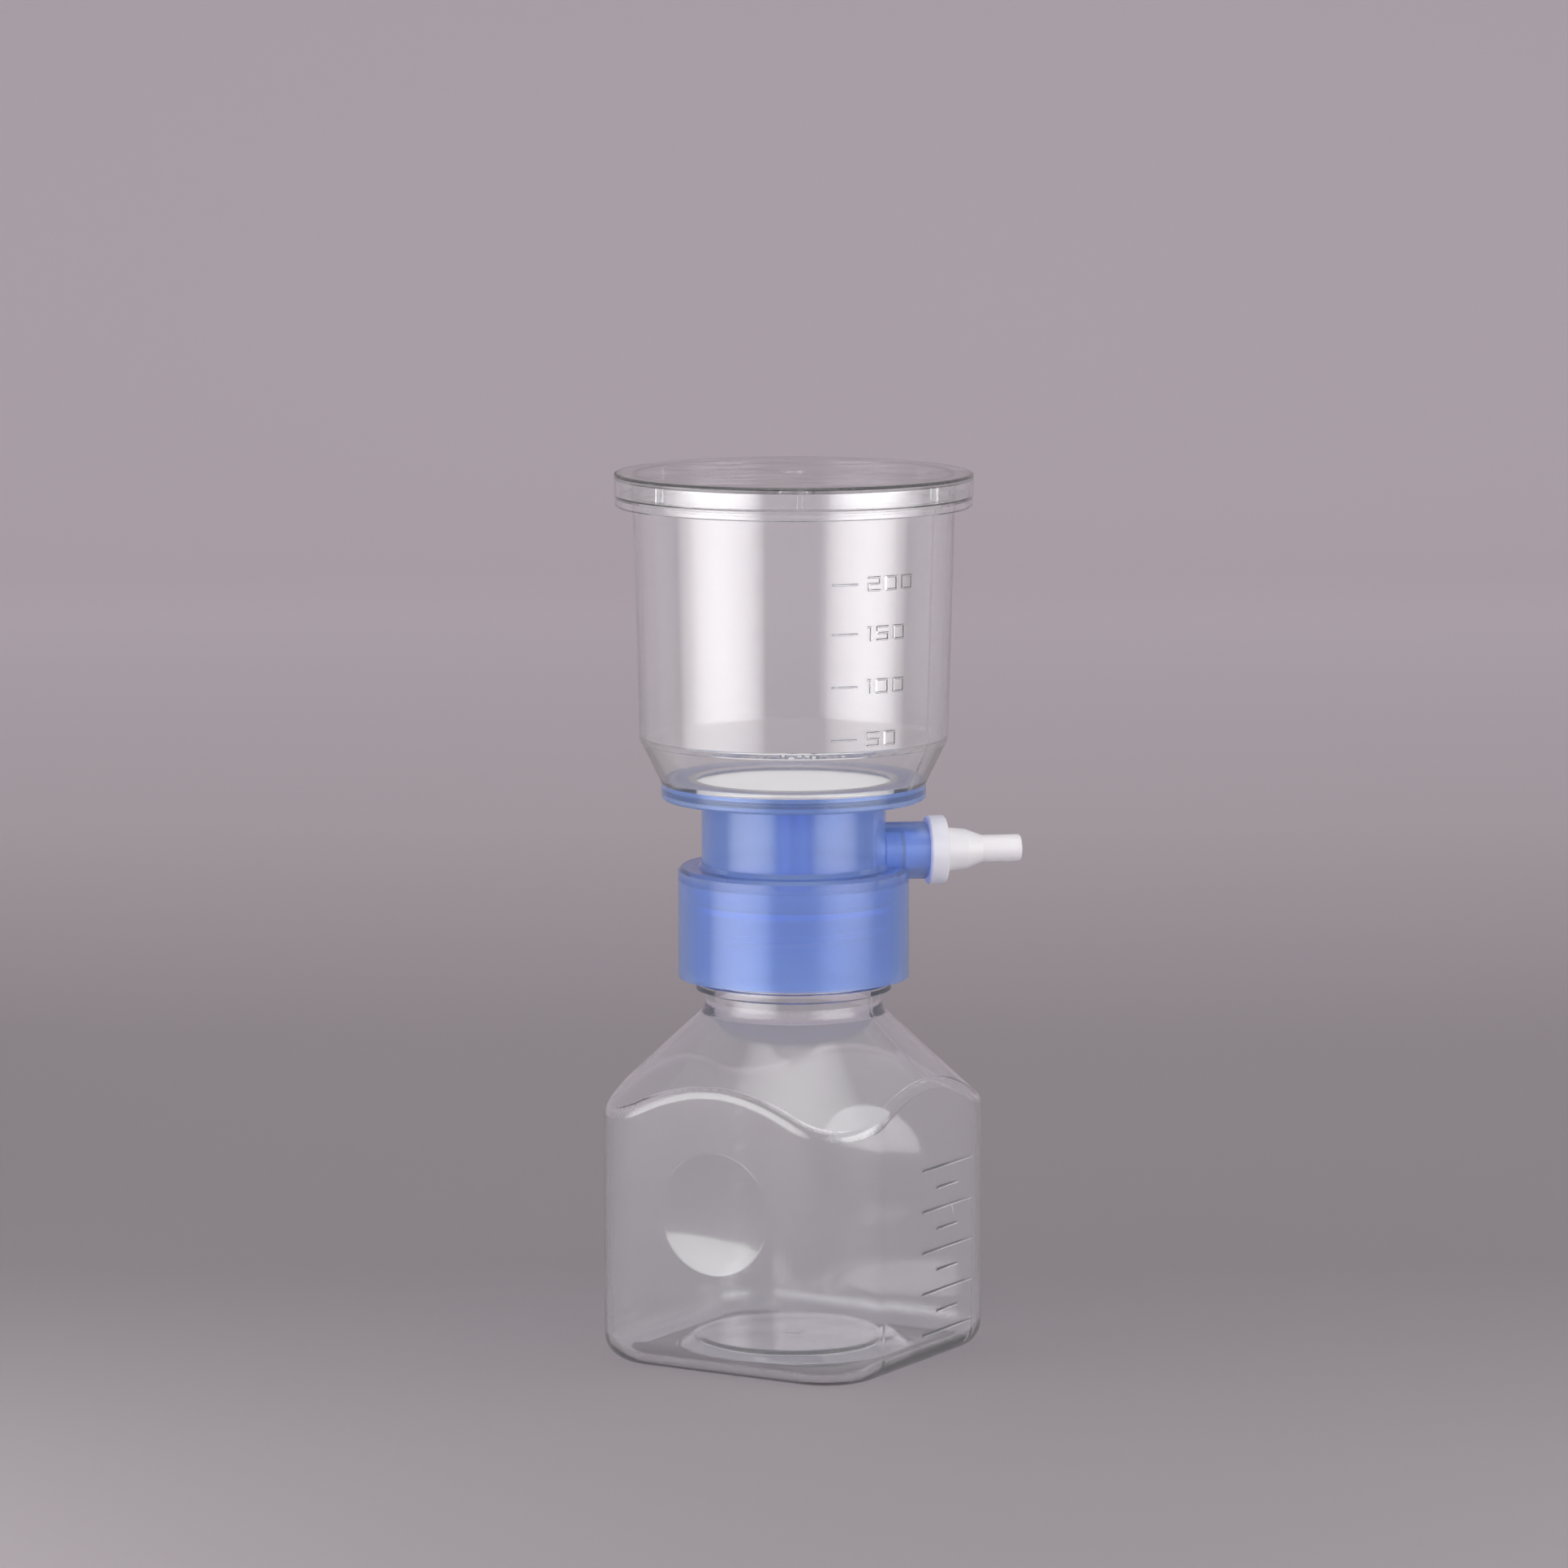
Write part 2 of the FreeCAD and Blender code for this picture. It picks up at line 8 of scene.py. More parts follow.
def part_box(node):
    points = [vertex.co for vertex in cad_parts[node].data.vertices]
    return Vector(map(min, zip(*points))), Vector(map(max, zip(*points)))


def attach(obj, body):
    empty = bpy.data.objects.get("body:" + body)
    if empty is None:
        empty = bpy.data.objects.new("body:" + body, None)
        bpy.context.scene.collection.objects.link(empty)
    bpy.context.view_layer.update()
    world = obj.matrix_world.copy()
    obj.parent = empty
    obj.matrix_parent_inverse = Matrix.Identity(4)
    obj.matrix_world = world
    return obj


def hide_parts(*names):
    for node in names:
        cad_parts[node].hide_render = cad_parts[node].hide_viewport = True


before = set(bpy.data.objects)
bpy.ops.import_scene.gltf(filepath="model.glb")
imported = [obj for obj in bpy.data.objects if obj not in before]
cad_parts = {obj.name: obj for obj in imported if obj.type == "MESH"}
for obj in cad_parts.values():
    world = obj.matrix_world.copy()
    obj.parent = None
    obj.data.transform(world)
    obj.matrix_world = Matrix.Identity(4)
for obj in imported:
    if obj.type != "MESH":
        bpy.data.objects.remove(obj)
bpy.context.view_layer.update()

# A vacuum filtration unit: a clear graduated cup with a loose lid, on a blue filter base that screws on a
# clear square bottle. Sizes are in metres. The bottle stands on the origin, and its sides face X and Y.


# Studio. The unit stands on a seamless sweep of grey mauve paper, seen over one corner of the bottle through
# a long lens. A soft box stands on each side in front of it, the left one nearer. A large one hangs above.

VIEW_TURN = math.radians(30.7)
VIEW_TILT = math.radians(7.65)
VIEW_DISTANCE = 1.675
AIM_HEIGHT = 0.137
AIM_SIDE = -0.0023
LENS = 162

across = Vector((math.cos(VIEW_TURN), math.sin(VIEW_TURN), 0))
towards_camera = Vector((math.sin(VIEW_TURN), -math.cos(VIEW_TURN), 0))
aim = Vector((0, 0, AIM_HEIGHT)) + AIM_SIDE * across
level = towards_camera * math.cos(VIEW_TILT) * VIEW_DISTANCE
rise = Vector((0, 0, math.sin(VIEW_TILT) * VIEW_DISTANCE))
bpy.ops.object.camera_add(location=aim + level + rise, rotation=(math.pi / 2 - VIEW_TILT, 0, VIEW_TURN))
camera = bpy.context.object
camera.name = "camera"
camera.data.lens = LENS
camera.data.sensor_width = 36
camera.data.clip_end = 20
bpy.context.scene.camera = camera


class Wire:
    """A value in a node tree. Arithmetic on it adds Math nodes, and node() adds any other kind."""

    def __init__(self, tree, socket=None):
        self.tree = tree
        self.socket = socket

    def node(self, kind, settings, inputs, output=0):
        """A node's output. Its settings come first, then its inputs are set or linked by name or place."""
        made = self.tree.nodes.new("ShaderNode" + kind)
        for name, setting in settings.items():
            if name == "stops":
                ramp = made.color_ramp.elements
                while len(ramp) < len(setting):
                    ramp.new(1)
                for element, (place, colour) in zip(ramp, setting):
                    element.position = place
                    element.color = (*colour, 1)
            else:
                setattr(made, name, setting)
        for name, value in inputs.items():
            if isinstance(value, Wire):
                self.tree.links.new(value.socket, made.inputs[name])
            else:
                made.inputs[name].default_value = value
        return Wire(self.tree, made.outputs[output] if made.outputs else None)

    def math(self, operation, first, second):
        return self.node("Math", {"operation": operation}, {0: first, 1: second})

    def __add__(self, other):
        return self.math("ADD", self, other)

    __radd__ = __add__

    def __sub__(self, other):
        return self.math("SUBTRACT", self, other)

    def __rsub__(self, other):
        return self.math("SUBTRACT", other, self)

    def __mul__(self, other):
        return self.math("MULTIPLY", self, other)

    __rmul__ = __mul__

    def __pow__(self, other):
        return self.math("POWER", self, other)


def new_material(name):
    """A material with an empty tree, and a Wire to build it from."""
    material = bpy.data.materials.new(name)
    material.use_nodes = True
    material.node_tree.nodes.clear()
    return material, Wire(material.node_tree)


def dress(piece, material):
    """Gives the piece this one material."""
    piece.data.materials.clear()
    piece.data.materials.append(material)


SWEEP_FRONT = 3.0
SWEEP_BACK = 2.7
SWEEP_WIDTH = 9.0
SWEEP_HEIGHT = 3.2
SWEEP_BEND = 0.9

bpy.ops.object.select_all(action="DESELECT")
bpy.ops.mesh.primitive_plane_add(size=1)
sweep = bpy.context.object
sweep.name = "paper_sweep"
bpy.ops.object.mode_set(mode="EDIT")
bpy.ops.transform.resize(value=(SWEEP_WIDTH, SWEEP_FRONT + SWEEP_BACK, 1))
bpy.ops.transform.translate(value=(0, (SWEEP_BACK - SWEEP_FRONT) / 2, 0))
bpy.ops.mesh.select_all(action="DESELECT")
bpy.ops.object.mode_set(mode="OBJECT")
for edge in sweep.data.edges:
    edge.select = all(sweep.data.vertices[n].co.y > SWEEP_BACK - 0.01 for n in edge.vertices)
bpy.ops.object.mode_set(mode="EDIT")
bpy.ops.mesh.select_mode(type="EDGE")
bpy.ops.mesh.extrude_region_move(TRANSFORM_OT_translate={"value": (0, 0, SWEEP_HEIGHT)})
bpy.ops.mesh.select_all(action="DESELECT")
bpy.ops.object.mode_set(mode="OBJECT")
for edge in sweep.data.edges:
    ends = [sweep.data.vertices[n].co for n in edge.vertices]
    edge.select = all(end.y > SWEEP_BACK - 0.01 and end.z < 0.01 for end in ends)
bpy.ops.object.mode_set(mode="EDIT")
bpy.ops.mesh.bevel(offset=SWEEP_BEND, segments=24)
bpy.ops.mesh.select_all(action="SELECT")
bpy.ops.mesh.normals_make_consistent(inside=False)
bpy.ops.transform.rotate(value=-VIEW_TURN, orient_axis="Z", center_override=(0, 0, 0))
bpy.ops.object.mode_set(mode="OBJECT")
bpy.ops.object.shade_smooth()

# The paper's colour is painted darker round the unit and paler towards the back: painted shade and painted
# light for how the lamps fall off over the sweep. Each stop is a distance along the view, in metres, and a
# level.
PAINTED_LIGHT_START = -0.3
PAINTED_LIGHT_LENGTH = 3.8
PAPER_TINT = (1.0, 0.91, 0.965)
PAPER_PAINTED_LIGHT_LEVELS = [(-0.1, 0.31), (0.1, 0.28), (0.45, 0.38), (0.9, 0.65), (1.6, 0.90), (3.3, 0.83)]

paper, wire = new_material("grey_paper")
place = wire.node("TexCoord", {}, {}, "Object")
away = tuple(-towards_camera)
depth = wire.node("VectorMath", {"operation": "DOT_PRODUCT"}, {0: place, 1: away}, "Value")
stops = [
    ((distance - PAINTED_LIGHT_START) / PAINTED_LIGHT_LENGTH, tuple(level * part for part in PAPER_TINT))
    for distance, level in PAPER_PAINTED_LIGHT_LEVELS
]
# Painted shade round the unit and painted light towards the back, in the paper's colour.
painted_light_ramp = wire.node("ValToRGB", {"stops": stops}, {"Fac": (depth - PAINTED_LIGHT_START) * (1 / PAINTED_LIGHT_LENGTH)})
grain = wire.node("TexNoise", {}, {"Vector": place, "Scale": 900.0, "Detail": 3.0})
mottle = wire.node("TexNoise", {}, {"Vector": place, "Scale": 1.3, "Detail": 2.0})
cloudy = wire.node("ValToRGB", {"stops": [(0.3, (0.7,) * 3), (0.7, (1,) * 3)]}, {"Fac": mottle})
shade = wire.node("Mix", {"data_type": "RGBA", "blend_type": "MULTIPLY"}, {0: 0.06, 6: painted_light_ramp, 7: cloudy}, 2)
bump = wire.node("Bump", {}, {"Height": grain, "Strength": 0.15, "Distance": 0.0002})
surface = wire.node("BsdfPrincipled", {}, {"Base Color": shade, "Roughness": 0.85, "Normal": bump})
wire.node("OutputMaterial", {}, {"Surface": surface})
dress(sweep, paper)


def add_softbox(name, turn, distance, height, width, tall, glow):
    """A soft box that faces the unit, at an angle in degrees from the camera. Its glow fades to its edges."""
    angle = VIEW_TURN + math.radians(turn)
    spot = Vector((math.sin(angle), -math.cos(angle), 0)) * distance + Vector((0, 0, height))
    bpy.ops.object.light_add(type="AREA", location=spot)
    lamp = bpy.context.object
    lamp.name = name
    lamp.visible_camera = False
    lamp.data.shape = "RECTANGLE"
    lamp.data.size = width
    lamp.data.size_y = tall
    lamp.data.energy = 4 * width * tall * glow
    lamp.rotation_euler = (Vector((0, 0, AIM_HEIGHT)) - spot).to_track_quat("-Z", "Y").to_euler()
    lamp.data.use_nodes = True
    lamp.data.node_tree.nodes.clear()
    wire = Wire(lamp.data.node_tree)
    spread = wire.node("NewGeometry", {}, {}, "Parametric")
    sideways = wire.node("SeparateXYZ", {}, {0: spread}, 0)
    upward = wire.node("SeparateXYZ", {}, {0: spread}, 1)
    fade = (4 * sideways * (1 - sideways)) ** 0.8 * (4 * upward * (1 - upward)) ** 0.25
    light = wire.node("Emission", {}, {"Strength": fade})
    wire.node("OutputLight", {}, {"Surface": light})


add_softbox("soft_box_left", -55, 0.42, 0.12, 0.59, 0.42, 2.55)
add_softbox("soft_box_right", 55, 0.6, 0.20, 0.80, 0.52, 2.4)
add_softbox("soft_box_over", 0, 0.25, 1.6, 1.5, 1.2, 1.5)

ROOM_LIGHT = (0.405, 0.39, 0.405, 1)

world = bpy.data.worlds.new("studio")
world.use_nodes = True
world.node_tree.nodes["Background"].inputs["Color"].default_value = ROOM_LIGHT
world.node_tree.nodes["Background"].inputs["Strength"].default_value = 1.0
bpy.context.scene.world = world
bpy.context.scene.view_settings.view_transform = "Standard"


# Receiver bottle. Clear PET, square, stretch blown from a moulded preform, so its walls wave slightly. Its
# neck has a right-hand screw thread, its side raised level marks, and its base the preform's round gate.

TOUCHING = 2e-6
PARALLEL = 0.9995
SHARP_EDGE = math.radians(32)
INWARD = (0.01, 0.3, 1)

THREAD_LEAD = 0.005
THREAD_WIDTH = 0.0021
THREAD_CREST = 0.45
THREAD_FADE = 0.12
THREAD_END = 0.08
THREAD_STEPS = 96
NECK_THREAD_ROOT = 0.0209
NECK_THREAD_CREST = 0.0224
NECK_THREAD_LOW = 0.0966
NECK_THREAD_TURNS = 1.6

BOTTLE_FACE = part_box("receiver_bottle")[1][0]
MARK_LOW = 0.0080
MARK_STEP = 0.0099
MARK_COUNT = 5
LONG_MARK = 0.0240
SHORT_MARK = 0.0104
MARK_THICK = 0.0008
MARK_FLANK = 0.00025
MARK_RAISED = 0.0003
MARK_ROOT = 0.0003
MARK_CENTRE = 0.0086
GATE_RADIUS = 0.0024
GATE_TOP = 0.0034
GATE_LOW = 0.0025
GATE_BEVEL = 0.0003


def join_doubles(piece):
    """Joins the piece's points that lie on each other, so that no face without area is left between them."""
    bpy.ops.object.select_all(action="DESELECT")
    piece.select_set(True)
    bpy.context.view_layer.objects.active = piece
    bpy.ops.object.mode_set(mode="EDIT")
    bpy.ops.mesh.select_all(action="SELECT")
    bpy.ops.mesh.remove_doubles(threshold=1e-6)
    bpy.ops.object.mode_set(mode="OBJECT")


def merged_copy(node, name):
    """A copy of a CAD node's mesh with its loose triangles joined, as a new piece."""
    piece = bpy.data.objects.new(name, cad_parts[node].data.copy())
    bpy.context.scene.collection.objects.link(piece)
    join_doubles(piece)
    return piece


def fuse(piece, addition, operation="UNION"):
    """Makes the addition part of the piece's own mesh, or cuts it out of it."""
    bpy.ops.object.select_all(action="DESELECT")
    bpy.context.view_layer.objects.active = piece
    bpy.ops.object.modifier_add(type="BOOLEAN")
    joining = piece.modifiers[-1]
    joining.operation = operation
    joining.solver = "MANIFOLD"
    joining.object = addition
    bpy.ops.object.modifier_apply(modifier=joining.name)
    bpy.data.objects.remove(addition)
    join_doubles(piece)


def smooth_like(piece, node):
    """Gives each corner that lies on the CAD node's surface its smooth normal there. It is looked for at
    points between the corner and its face's middle."""
    bpy.ops.object.select_all(action="DESELECT")
    piece.select_set(True)
    bpy.context.view_layer.objects.active = piece
    bpy.ops.object.shade_smooth_by_angle(angle=SHARP_EDGE)
    normals = [corner.vector.copy() for corner in piece.data.corner_normals]
    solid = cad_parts[node]
    points = [vertex.co for vertex in solid.data.vertices]
    smooth = [corner.vector for corner in solid.data.corner_normals]
    for face in piece.data.polygons:
        for corner in face.loop_indices:
            spot = piece.data.vertices[piece.data.loops[corner].vertex_index].co
            for inward in INWARD:
                probe = spot.lerp(face.center, inward)
                _, found, _, number = solid.closest_point_on_mesh(probe)
                under = solid.data.polygons[number]
                if (found - probe).length < TOUCHING and under.normal.dot(face.normal) > PARALLEL:
                    shares = poly_3d_calc([points[n] for n in under.vertices], spot)
                    parts = [share * smooth[n] for share, n in zip(shares, under.loop_indices)]
                    normals[corner] = sum(parts, Vector()).normalized()
                    break
    piece.data.normals_split_custom_set(normals)


def pick(piece, vertices=None, edges=None, faces=None):
    """Selects the vertices, edges or faces whose own test is true, and leaves the piece in edit mode."""
    bpy.ops.object.mode_set(mode="EDIT")
    kind = "VERT" if vertices else "EDGE" if edges else "FACE"
    bpy.ops.mesh.select_mode(type=kind)
    bpy.ops.mesh.select_all(action="DESELECT")
    bpy.ops.object.mode_set(mode="OBJECT")
    mesh = piece.data
    for element in mesh.vertices if vertices else mesh.edges if edges else mesh.polygons:
        element.select = bool((vertices or edges or faces)(element))
    bpy.ops.object.mode_set(mode="EDIT")


def add_thread(name, root, crest, low, turns):
    """A right-hand ridge round the axis that fades into its wall at both ends. Its crest may be in or out."""
    bpy.ops.object.select_all(action="DESELECT")
    bpy.ops.mesh.primitive_plane_add(size=1)
    ridge = bpy.context.object
    ridge.name = name
    bpy.ops.object.mode_set(mode="EDIT")
    bpy.ops.mesh.delete(type="ONLY_FACE")
    bpy.ops.mesh.select_all(action="SELECT")
    bpy.ops.transform.rotate(value=math.pi / 2, orient_axis="X", center_override=(0, 0, 0))
    bpy.ops.transform.resize(value=(crest - root, 1, THREAD_WIDTH))
    bpy.ops.transform.translate(value=((crest + root) / 2, 0, low))
    pick(ridge, vertices=lambda vertex: abs(vertex.co.x - crest) < 1e-5)
    bpy.ops.transform.resize(value=(1, 1, THREAD_CREST), center_override=(crest, 0, low))
    bpy.ops.object.mode_set(mode="OBJECT")
    bpy.ops.object.modifier_add(type="SCREW")
    sweeping = ridge.modifiers[-1]
    sweeping.axis = "Z"
    sweeping.angle = 2 * math.pi * turns
    sweeping.screw_offset = THREAD_LEAD * turns
    sweeping.steps = sweeping.render_steps = round(THREAD_STEPS * turns)
    bpy.ops.object.modifier_apply(modifier=sweeping.name)
    for vertex in ridge.data.vertices:
        part_turn = math.atan2(vertex.co.y, vertex.co.x) / (2 * math.pi)
        turn = part_turn + round((vertex.co.z - low) / THREAD_LEAD - part_turn)
        height = max(THREAD_END, min(1, turn / THREAD_FADE, (turns - turn) / THREAD_FADE))
        radius = math.hypot(vertex.co.x, vertex.co.y)
        vertex.co.xy *= (root + (radius - root) * height) / radius
    bpy.ops.object.mode_set(mode="EDIT")
    bpy.ops.mesh.select_all(action="SELECT")
    bpy.ops.mesh.fill_holes(sides=4)
    bpy.ops.mesh.select_all(action="SELECT")
    bpy.ops.mesh.normals_make_consistent(inside=False)
    bpy.ops.object.mode_set(mode="OBJECT")
    return ridge


def add_level_marks(name, length, low, count):
    """A ladder of raised bars with sloping flanks and round ends, rooted inside the bottle's +X side."""
    bpy.ops.object.select_all(action="DESELECT")
    bpy.ops.mesh.primitive_plane_add(size=1)
    marks = bpy.context.object
    marks.name = name
    bpy.ops.object.mode_set(mode="EDIT")
    bpy.ops.transform.resize(value=(MARK_THICK, length, 1))
    bpy.ops.mesh.bevel(offset=MARK_THICK * 0.45, segments=4, affect="VERTICES")
    bpy.ops.mesh.select_all(action="SELECT")
    bpy.ops.mesh.extrude_region_move(TRANSFORM_OT_translate={"value": (0, 0, MARK_ROOT)})
    bpy.ops.mesh.inset(thickness=MARK_FLANK, depth=MARK_RAISED)
    bpy.ops.mesh.select_all(action="SELECT")
    bpy.ops.mesh.normals_make_consistent(inside=False)
    bpy.ops.object.mode_set(mode="OBJECT")
    for vertex in marks.data.vertices:
        side, along, out = vertex.co
        vertex.co = (BOTTLE_FACE - MARK_ROOT + out, MARK_CENTRE + along, low - side)
    bpy.ops.object.mode_set(mode="EDIT")
    bpy.ops.mesh.select_all(action="SELECT")
    for _ in range(count - 1):
        bpy.ops.mesh.duplicate_move(TRANSFORM_OT_translate={"value": (0, 0, MARK_STEP)})
    bpy.ops.object.mode_set(mode="OBJECT")
    return marks


bottle = merged_copy("receiver_bottle", "square_bottle")
thread = add_thread("neck_thread", NECK_THREAD_ROOT, NECK_THREAD_CREST, NECK_THREAD_LOW, NECK_THREAD_TURNS)
fuse(bottle, thread)
fuse(bottle, add_level_marks("long_level_marks", LONG_MARK, MARK_LOW, MARK_COUNT))
fuse(bottle, add_level_marks("short_level_marks", SHORT_MARK, MARK_LOW + MARK_STEP / 2, MARK_COUNT - 1))

bpy.ops.object.select_all(action="DESELECT")
bpy.ops.mesh.primitive_cylinder_add(
    vertices=48, radius=GATE_RADIUS, depth=GATE_TOP - GATE_LOW, location=(0, 0, (GATE_TOP + GATE_LOW) / 2)
)
gate = bpy.context.object
pick(gate, faces=lambda face: face.normal.z < -0.5)
bpy.ops.mesh.bevel(offset=GATE_BEVEL, segments=3)
bpy.ops.object.mode_set(mode="OBJECT")
fuse(bottle, gate)
smooth_like(bottle, "receiver_bottle")

PET_TINT = (0.972, 0.974, 0.985, 1)


def let_light_through(wire, plastic, tint):
    """Ends the tree with the plastic, whose shadow is a tint and not black."""
    shadow = wire.node("BsdfTransparent", {}, {"Color": (*tint, 1)})
    is_shadow = wire.node("LightPath", {}, {}, "Is Shadow Ray")
    surface = wire.node("MixShader", {}, {0: is_shadow, 1: plastic, 2: shadow})
    wire.node("OutputMaterial", {}, {"Surface": surface})


bottle_plastic, wire = new_material("bottle_plastic")
place = wire.node("TexCoord", {}, {}, "Object")
stretched = wire.node("Mapping", {}, {"Vector": place, "Scale": (1.0, 1.0, 0.45)})
waves = wire.node("TexNoise", {}, {"Vector": stretched, "Scale": 38.0, "Detail": 1.5})
ripple = wire.node("TexNoise", {}, {"Vector": place, "Scale": 240.0, "Detail": 2.0})
smudge = wire.node("TexNoise", {}, {"Vector": place, "Scale": 45.0, "Detail": 4.0})
bump = wire.node("Bump", {}, {"Height": waves + 0.04 * ripple, "Strength": 0.16, "Distance": 0.0012})
plastic = wire.node(
    "BsdfPrincipled",
    {},
    {
        "Base Color": PET_TINT,
        "Roughness": 0.03 + 0.05 * smudge,
        "IOR": 1.57,
        "Transmission Weight": 0.97,
        "Normal": bump,
    },
)
let_light_through(wire, plastic, (0.92, 0.92, 0.93))
dress(bottle, bottle_plastic)
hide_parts("receiver_bottle")
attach(bottle, "receiver")


# Neck gasket. A ring of soft white closed-cell foam, punched from sheet, with edges pressed slightly round.
# It is held under the filter base's web, and the bottle's lip presses into it.

FOAM_ROUNDING = 0.0002

gasket = merged_copy("neck_gasket", "foam_ring")
bpy.ops.object.modifier_add(type="BEVEL")
rounding = gasket.modifiers[-1]
rounding.width = FOAM_ROUNDING
rounding.segments = 3
rounding.limit_method = "ANGLE"
bpy.ops.object.modifier_apply(modifier=rounding.name)
bpy.ops.object.shade_smooth_by_angle(angle=math.radians(40))

FOAM_DARK = (0.74, 0.73, 0.71, 1)
FOAM_PALE = (0.82, 0.81, 0.80, 1)

foam, wire = new_material("foam")
place = wire.node("TexCoord", {}, {}, "Object")
cells = wire.node("TexVoronoi", {}, {"Vector": place, "Scale": 2600.0}, "Distance")
patches = wire.node("TexNoise", {}, {"Vector": place, "Scale": 300.0, "Detail": 2.0})
shade = wire.node("Mix", {"data_type": "RGBA"}, {0: patches, 6: FOAM_DARK, 7: FOAM_PALE}, 2)
bump = wire.node("Bump", {}, {"Height": cells, "Strength": 0.5, "Distance": 0.00015})
surface = wire.node("BsdfPrincipled", {}, {"Base Color": shade, "Roughness": 0.8, "Normal": bump})
wire.node("OutputMaterial", {}, {"Surface": surface})
dress(gasket, foam)
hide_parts("neck_gasket")
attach(gasket, "seal")


# Filter base. One translucent blue moulding: membrane dish with drain channels, neck, drip spout, side port
# and screw collar. The screw thread inside its sleeve meets the bottle's from above.

SLEEVE_THREAD_ROOT = 0.0231
SLEEVE_THREAD_CREST = 0.0216
SLEEVE_THREAD_LOW = 0.0991
SLEEVE_THREAD_TURNS = 1.1

base = merged_copy("filter_base", "blue_filter_base")
thread = add_thread(
    "sleeve_thread", SLEEVE_THREAD_ROOT, SLEEVE_THREAD_CREST, SLEEVE_THREAD_LOW, SLEEVE_THREAD_TURNS
)
fuse(base, thread)
smooth_like(base, "filter_base")

BLUE = (0.455, 0.59, 0.85, 1)

blue_plastic, wire = new_material("blue_plastic")
place = wire.node("TexCoord", {}, {}, "Object")
flow = wire.node("Mapping", {}, {"Vector": place, "Scale": (1.0, 1.0, 0.25)})
streaks = wire.node("TexNoise", {}, {"Vector": flow, "Scale": 160.0, "Detail": 3.0})
satin = wire.node("TexNoise", {}, {"Vector": place, "Scale": 1500.0, "Detail": 2.0})
bump = wire.node("Bump", {}, {"Height": streaks + 0.15 * satin, "Strength": 0.08, "Distance": 0.0003})
plastic = wire.node(
    "BsdfPrincipled",
    {},
    {
        "Base Color": BLUE,
        "Roughness": 0.12 + 0.08 * streaks,
        "IOR": 1.50,
        "Transmission Weight": 0.80,
        "Normal": bump,
    },
)
let_light_through(wire, plastic, (0.50, 0.62, 0.95))
dress(base, blue_plastic)
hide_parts("filter_base")
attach(base, "filter_unit")


# Membrane. A white disc of microporous film, clamped between dish and cup. Its face is matt and very even.
# Its CAD shape is right, so it only gets its finish here.

FILM_DARK = (0.74, 0.73, 0.72, 1)
FILM_PALE = (0.80, 0.795, 0.79, 1)

film, wire = new_material("filter_film")
place = wire.node("TexCoord", {}, {}, "Object")
cloud = wire.node("TexNoise", {}, {"Vector": place, "Scale": 90.0, "Detail": 3.0})
pores = wire.node("TexNoise", {}, {"Vector": place, "Scale": 4000.0, "Detail": 2.0})
shade = wire.node("Mix", {"data_type": "RGBA"}, {0: cloud, 6: FILM_DARK, 7: FILM_PALE}, 2)
bump = wire.node("Bump", {}, {"Height": pores, "Strength": 0.3, "Distance": 0.00005})
surface = wire.node("BsdfPrincipled", {}, {"Base Color": shade, "Roughness": 0.75, "Normal": bump})
wire.node("OutputMaterial", {}, {"Surface": surface})
dress(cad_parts["membrane"], film)


# Plug of the side port. A wad of white cotton fibre, pushed into the port so that no germs are drawn through.
# Its surface is teased and uneven.

PLUG_UNEVEN = 0.00035
PLUG_VOXEL = 0.00022
TUFT_SIZE = 0.0011

plug = merged_copy("port_plug", "cotton_plug")
bpy.ops.object.modifier_add(type="REMESH")
remaking = plug.modifiers[-1]
remaking.mode = "VOXEL"
remaking.voxel_size = PLUG_VOXEL
bpy.ops.object.modifier_apply(modifier=remaking.name)
tufts = bpy.data.textures.new("cotton_tufts", type="CLOUDS")
tufts.noise_scale = TUFT_SIZE
tufts.noise_depth = 3
bpy.ops.object.modifier_add(type="DISPLACE")
teasing = plug.modifiers[-1]
teasing.texture = tufts
teasing.strength = -PLUG_UNEVEN
teasing.mid_level = 0
bpy.ops.object.modifier_apply(modifier=teasing.name)
bpy.ops.object.shade_smooth()

COTTON_DARK = (0.72, 0.70, 0.67, 1)
COTTON_PALE = (0.88, 0.87, 0.85, 1)

cotton, wire = new_material("cotton")
place = wire.node("TexCoord", {}, {}, "Object")
lay = wire.node("TexNoise", {}, {"Vector": place, "Scale": 500.0, "Detail": 4.0, "Distortion": 2.0})
fibres = wire.node("TexNoise", {}, {"Vector": place, "Scale": 2500.0, "Detail": 3.0, "Distortion": 4.0})
shade = wire.node("Mix", {"data_type": "RGBA"}, {0: lay, 6: COTTON_DARK, 7: COTTON_PALE}, 2)
bump = wire.node("Bump", {}, {"Height": fibres + lay, "Strength": 0.7, "Distance": 0.0002})
surface = wire.node(
    "BsdfPrincipled", {}, {"Base Color": shade, "Roughness": 0.95, "Sheen Weight": 0.5, "Normal": bump}
)
wire.node("OutputMaterial", {}, {"Surface": surface})
dress(plug, cotton)
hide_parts("port_plug")
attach(plug, "filter_unit")


# Hose nozzle. Natural polypropylene, milky and slightly waxy, moulded apart and pushed into the side port.
# Its tail takes the vacuum hose, and its CAD shape is right.

MILKY = (0.92, 0.90, 0.90, 1)

